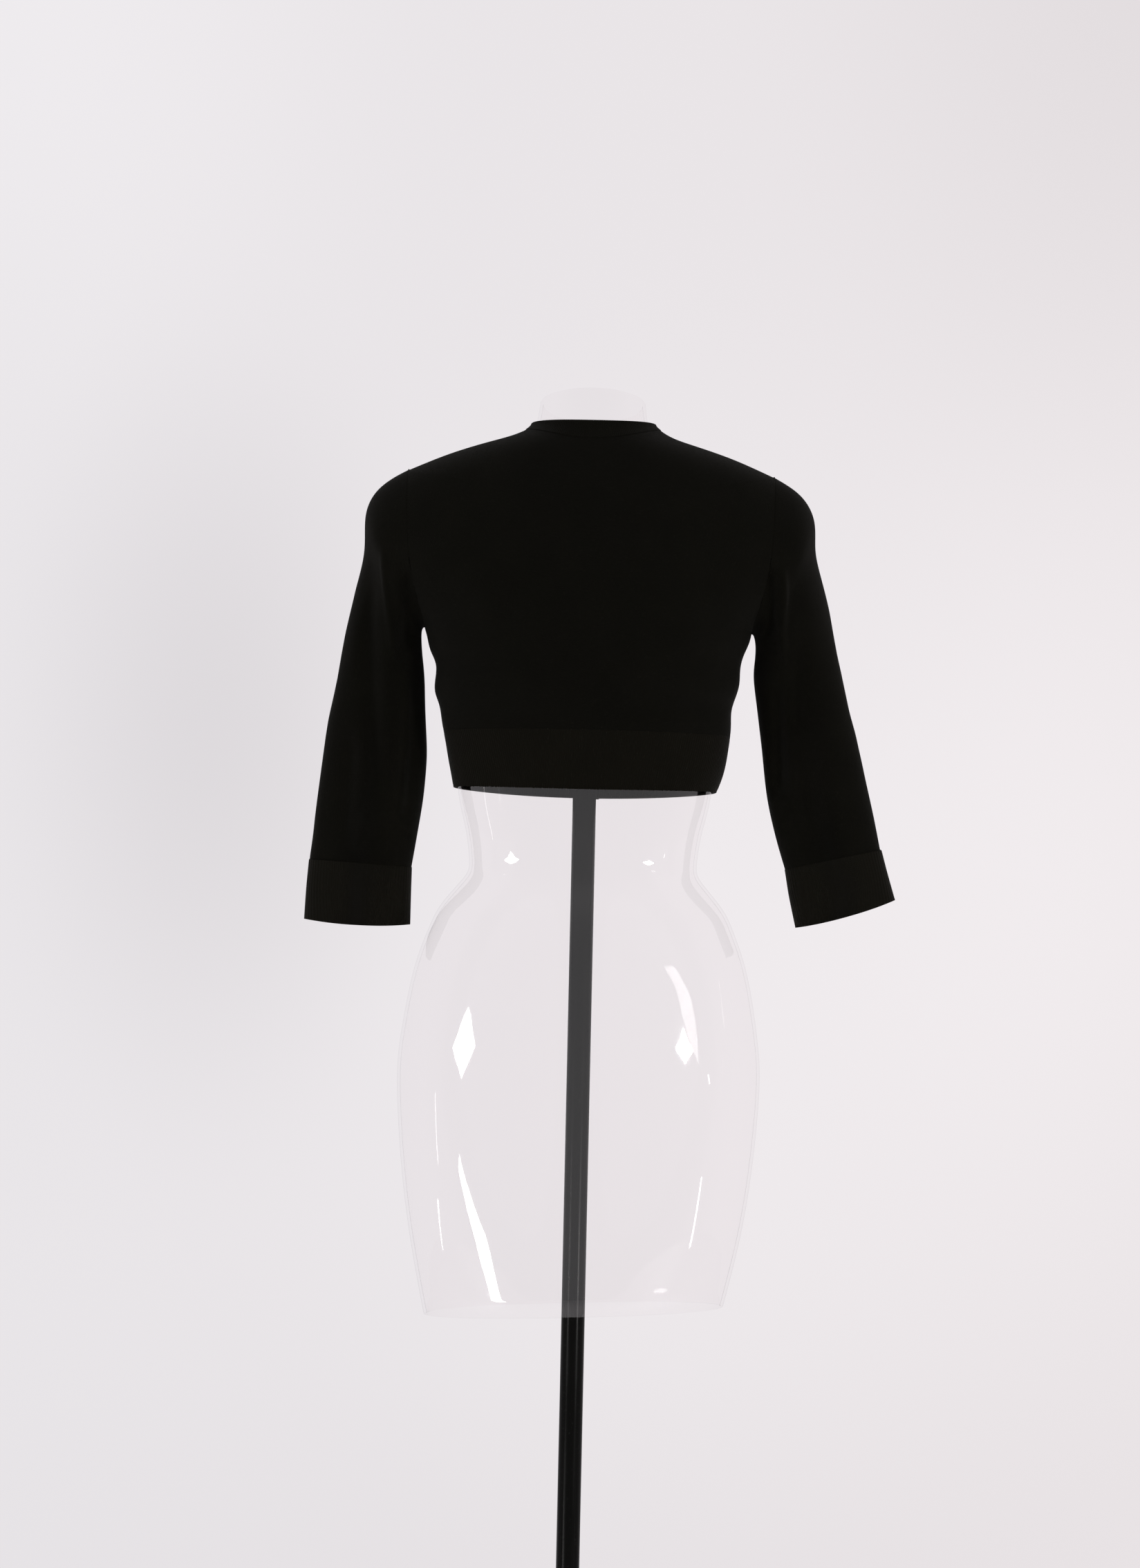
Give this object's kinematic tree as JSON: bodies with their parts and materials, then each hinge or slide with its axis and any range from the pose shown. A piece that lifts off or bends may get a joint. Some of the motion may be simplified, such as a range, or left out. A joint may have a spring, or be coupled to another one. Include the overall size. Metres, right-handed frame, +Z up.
{
  "type": "button cardigan on a limbless dress form",
  "caption": "Cropped black fine-knit cardigan with three-quarter sleeves, deep rib hem and cuffs and a buttoned front, resting on a clear limbless dress form with a pole and round base.",
  "frame": {"origin": "centre of the base plate's underside, on the floor", "axes": "+Z up along the pole; the front of the cardigan faces -Y; +X is the wearer's left"},
  "size_m": [0.6082, 0.32, 1.5949],
  "materials": {
    "knit": "fine black jersey knit, matt with a faint nap",
    "rib": "black rib knit, slightly warmer and lighter than the body",
    "buttons": "black, polished",
    "clear_shell": "clear moulded plastic shell, glossy",
    "black_metal": "satin black",
    "steel": "plain flat bar"
  },
  "bodies": {
    "root": {"back": "knit", "base": "black_metal", "bracket_bar": "steel", "bracket_collar": "black_metal", "button_1": "buttons", "button_2": "buttons", "button_3": "buttons", "button_4": "buttons", "button_5": "buttons", "button_6": "buttons", "button_7": "buttons", "button_band_left": "rib", "button_band_right": "rib", "cuff_left": "rib", "cuff_right": "rib", "form_back": "clear_shell", "form_front": "clear_shell", "front_left": "knit", "front_right": "knit", "neckband": "rib", "pole": "black_metal", "sleeve_left": "knit", "sleeve_right": "knit", "waistband_back": "rib", "waistband_front_left": "rib", "waistband_front_right": "rib"}
  },
  "joints": []
}
